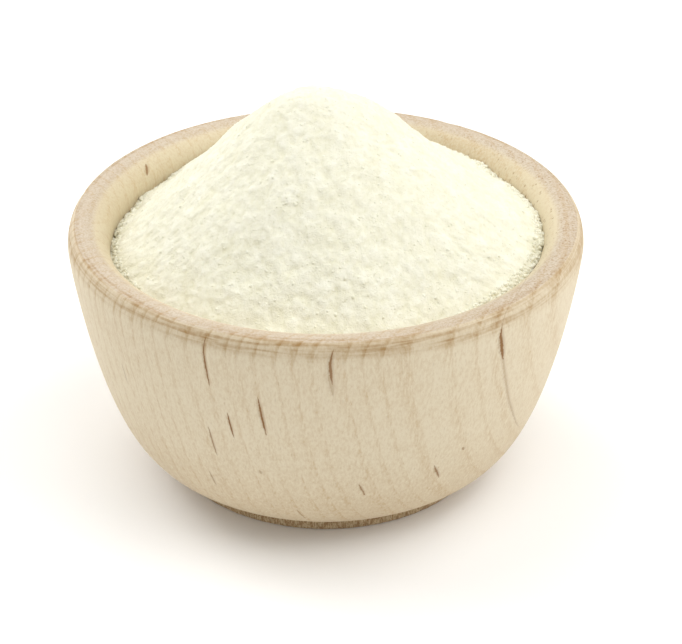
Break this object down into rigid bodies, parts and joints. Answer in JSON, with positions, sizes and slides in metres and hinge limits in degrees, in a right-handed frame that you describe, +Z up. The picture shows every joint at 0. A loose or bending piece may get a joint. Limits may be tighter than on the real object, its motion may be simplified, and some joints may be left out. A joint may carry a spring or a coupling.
{
  "type": "small wooden bowl heaped with milk powder",
  "caption": "Small turned wooden bowl on a low foot, filled with cream-white milk powder heaped into a rounded cone above the rim.",
  "frame": {"origin": "centre of the foot's underside, on the surface that the bowl stands on", "axes": "+Z up along the bowl's axis, the pictured side faces -Y, +X is to its right"},
  "size_m": [0.08, 0.08, 0.0623],
  "materials": {
    "pale_wood": "bare sanded hardwood turned along the grain, matt, with end grain on the rim and foot and a few short brown streaks",
    "milk_powder": "cream-white dry milk powder, matt and slightly see-through, in fine clumped grains"
  },
  "bodies": {
    "root": {"bowl": "pale_wood", "powder": "milk_powder"}
  },
  "joints": []
}
